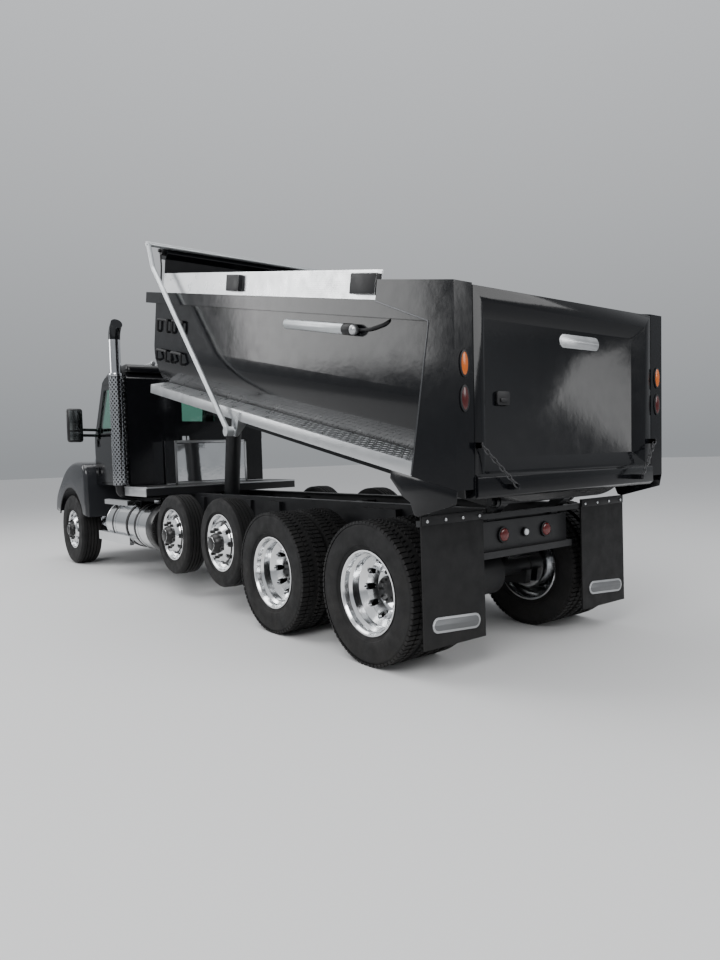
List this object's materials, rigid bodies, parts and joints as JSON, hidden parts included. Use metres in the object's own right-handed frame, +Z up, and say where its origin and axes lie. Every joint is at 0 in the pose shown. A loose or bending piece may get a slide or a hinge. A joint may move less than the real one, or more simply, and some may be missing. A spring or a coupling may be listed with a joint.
{
  "type": "five-axle conventional dump truck",
  "caption": "Long-nosed heavy dump truck with a half-round tipping bed, telescopic front hoist, raised pusher axles, tandem drive axles, tarp bow and top-hung tailgate.",
  "frame": {"origin": "centre of the truck's length and width, on the ground", "axes": "+X forward, +Y to the left, +Z up"},
  "size_m": [9.6517, 3.12, 4.0995],
  "materials": {
    "chassis_black": "satin black chassis paint",
    "engine_grey": "cast and oily",
    "bumper_bright": "polished",
    "polished_tank": "polished, mirror-like",
    "deck_black": "black with a bright worn edge",
    "cab_paint": "gloss black",
    "window_glass": "green tint",
    "cab_trim": "dark trim and seat cloth",
    "stack_chrome": "polished with a perforated shield",
    "flap_rubber": "matte black",
    "lamp_red": "moulded lens",
    "lamp_amber": "moulded lens",
    "lamp_clear": "clear lens",
    "grille_bright": "bright",
    "mirror_black": "black housing",
    "bed_paint": "gloss black, sky reflections",
    "tread_plate": "raised tread pattern",
    "tool_tube": "dull tube",
    "chain_steel": "dark galvanised",
    "bow_aluminium": "brushed tube",
    "hoist_black": "black paint",
    "hoist_chrome": "hard chrome, oiled",
    "wheel_aluminium": "polished",
    "tyre_rubber": "black rubber"
  },
  "bodies": {
    "chassis": {"frame": "chassis_black", "drive_axles": "chassis_black", "pusher_axles": "chassis_black", "front_axle": "chassis_black", "engine": "engine_grey", "front_bumper": "bumper_bright", "fuel_tanks": "polished_tank", "deck": "deck_black", "hydraulic_tank": "polished_tank", "cab_shell": "cab_paint", "cab_glass": "window_glass", "cab_interior": "cab_trim", "exhaust_stack": "stack_chrome", "mud_flaps": "flap_rubber", "rear_panel": "chassis_black", "chassis_lamps": "lamp_red"},
    "hood": {"hood": "cab_paint", "grille": "grille_bright", "headlamps": "lamp_clear"},
    "door_left": {"door_left": "cab_paint", "door_glass_left": "window_glass", "mirror_left": "mirror_black"},
    "door_right": {"door_right": "cab_paint", "door_glass_right": "window_glass", "mirror_right": "mirror_black"},
    "knuckle_left": {"knuckle_left": "chassis_black"},
    "knuckle_right": {"knuckle_right": "chassis_black"},
    "bed": {"bed_shell": "bed_paint", "side_boards": "tread_plate", "running_boards": "tread_plate", "cab_shield": "bed_paint", "bed_lamps": "lamp_amber", "tool_holder": "tool_tube"},
    "tailgate": {"tailgate": "bed_paint", "gate_chains": "chain_steel"},
    "tarp_bow": {"tarp_bow": "bow_aluminium"},
    "hoist_barrel": {"hoist_barrel": "hoist_black"},
    "hoist_stage_1": {"hoist_stage_1": "hoist_chrome"},
    "hoist_stage_2": {"hoist_stage_2": "hoist_chrome"},
    "hoist_stage_3": {"hoist_stage_3": "hoist_chrome"},
    "drive_rear_wheel_left": {"drive_rear_wheel_left": "wheel_aluminium", "drive_rear_tyre_left": "tyre_rubber"},
    "drive_rear_wheel_right": {"drive_rear_wheel_right": "wheel_aluminium", "drive_rear_tyre_right": "tyre_rubber"},
    "drive_front_wheel_left": {"drive_front_wheel_left": "wheel_aluminium", "drive_front_tyre_left": "tyre_rubber"},
    "drive_front_wheel_right": {"drive_front_wheel_right": "wheel_aluminium", "drive_front_tyre_right": "tyre_rubber"},
    "pusher_rear_wheel_left": {"pusher_rear_wheel_left": "wheel_aluminium", "pusher_rear_tyre_left": "tyre_rubber"},
    "pusher_rear_wheel_right": {"pusher_rear_wheel_right": "wheel_aluminium", "pusher_rear_tyre_right": "tyre_rubber"},
    "pusher_front_wheel_left": {"pusher_front_wheel_left": "wheel_aluminium", "pusher_front_tyre_left": "tyre_rubber"},
    "pusher_front_wheel_right": {"pusher_front_wheel_right": "wheel_aluminium", "pusher_front_tyre_right": "tyre_rubber"},
    "steer_wheel_left": {"steer_wheel_left": "wheel_aluminium", "steer_tyre_left": "tyre_rubber"},
    "steer_wheel_right": {"steer_wheel_right": "wheel_aluminium", "steer_tyre_right": "tyre_rubber"}
  },
  "joints": [
    {"name": "bed_lift", "type": "hinge", "parent": "chassis", "child": "bed", "pos_m": [-4.335, 0, 1.2], "axis": [0, -1, 0], "range_deg": [-12, 38]},
    {"name": "tailgate_swing", "type": "hinge", "parent": "bed", "child": "tailgate", "pos_m": [-4.6487, 0, 2.57489], "axis": [0, 1, 0], "range_deg": [0, 75]},
    {"name": "tarp_bow_swing", "type": "hinge", "parent": "bed", "child": "tarp_bow", "pos_m": [-1.81261, 0, 1.83838], "axis": [0, -1, 0], "range_deg": [0, 106]},
    {"name": "hoist_tilt", "type": "hinge", "parent": "chassis", "child": "hoist_barrel", "pos_m": [0.685, 0, 0.95], "axis": [0, -1, 0], "range_deg": [-7, 21.95]},
    {"name": "hoist_slide_1", "type": "slide", "parent": "hoist_barrel", "child": "hoist_stage_1", "axis": [-0.1427, 0, 0.9898], "range_m": [-0.3319, 1.0466]},
    {"name": "hoist_slide_2", "type": "slide", "parent": "hoist_stage_1", "child": "hoist_stage_2", "axis": [-0.1427, 0, 0.9898], "range_m": [-0.3319, 1.0466]},
    {"name": "hoist_slide_3", "type": "slide", "parent": "hoist_stage_2", "child": "hoist_stage_3", "axis": [-0.1427, 0, 0.9898], "range_m": [-0.3319, 1.0466]},
    {"name": "hood_tilt", "type": "hinge", "parent": "chassis", "child": "hood", "pos_m": [4.76, 0, 0.77], "axis": [0, 1, 0], "range_deg": [0, 60]},
    {"name": "door_left_swing", "type": "hinge", "parent": "chassis", "child": "door_left", "pos_m": [2.871, 1.034, 1.9], "axis": [0, 0, -1], "range_deg": [0, 70]},
    {"name": "door_right_swing", "type": "hinge", "parent": "chassis", "child": "door_right", "pos_m": [2.871, -1.034, 1.9], "axis": [0, 0, 1], "range_deg": [0, 70]},
    {"name": "steer_left", "type": "hinge", "parent": "chassis", "child": "knuckle_left", "pos_m": [3.825, 0.825, 0.54], "axis": [0, 0, 1], "range_deg": [-35, 35]},
    {"name": "steer_wheel_left_spin", "type": "hinge", "parent": "knuckle_left", "child": "steer_wheel_left", "pos_m": [3.825, 1.04, 0.54], "axis": [0, 1, 0], "continuous": true},
    {"name": "steer_right", "type": "hinge", "parent": "chassis", "child": "knuckle_right", "pos_m": [3.825, -0.825, 0.54], "axis": [0, 0, 1], "range_deg": [-35, 35]},
    {"name": "steer_wheel_right_spin", "type": "hinge", "parent": "knuckle_right", "child": "steer_wheel_right", "pos_m": [3.825, -1.04, 0.54], "axis": [0, 1, 0], "continuous": true},
    {"name": "drive_rear_wheel_left_spin", "type": "hinge", "parent": "chassis", "child": "drive_rear_wheel_left", "pos_m": [-3.735, 0.918, 0.545], "axis": [0, 1, 0], "continuous": true},
    {"name": "drive_rear_wheel_right_spin", "type": "hinge", "parent": "chassis", "child": "drive_rear_wheel_right", "pos_m": [-3.735, -0.918, 0.545], "axis": [0, 1, 0], "continuous": true},
    {"name": "drive_front_wheel_left_spin", "type": "hinge", "parent": "chassis", "child": "drive_front_wheel_left", "pos_m": [-2.363, 0.918, 0.545], "axis": [0, 1, 0], "continuous": true},
    {"name": "drive_front_wheel_right_spin", "type": "hinge", "parent": "chassis", "child": "drive_front_wheel_right", "pos_m": [-2.363, -0.918, 0.545], "axis": [0, 1, 0], "continuous": true},
    {"name": "pusher_rear_wheel_left_spin", "type": "hinge", "parent": "chassis", "child": "pusher_rear_wheel_left", "pos_m": [-1.175, 1, 0.71], "axis": [0, 1, 0], "continuous": true},
    {"name": "pusher_rear_wheel_right_spin", "type": "hinge", "parent": "chassis", "child": "pusher_rear_wheel_right", "pos_m": [-1.175, -1, 0.71], "axis": [0, 1, 0], "continuous": true},
    {"name": "pusher_front_wheel_left_spin", "type": "hinge", "parent": "chassis", "child": "pusher_front_wheel_left", "pos_m": [0.045, 1, 0.71], "axis": [0, 1, 0], "continuous": true},
    {"name": "pusher_front_wheel_right_spin", "type": "hinge", "parent": "chassis", "child": "pusher_front_wheel_right", "pos_m": [0.045, -1, 0.71], "axis": [0, 1, 0], "continuous": true}
  ],
  "couplings": [
    {"joint": "hoist_tilt", "follows": "bed_lift", "ratio": 0.575},
    {"joint": "hoist_slide_1", "follows": "bed_lift", "m_per_rad": 1.575},
    {"joint": "hoist_slide_2", "follows": "bed_lift", "m_per_rad": 1.575},
    {"joint": "hoist_slide_3", "follows": "bed_lift", "m_per_rad": 1.575},
    {"joint": "steer_right", "follows": "steer_left", "ratio": 1}
  ]
}
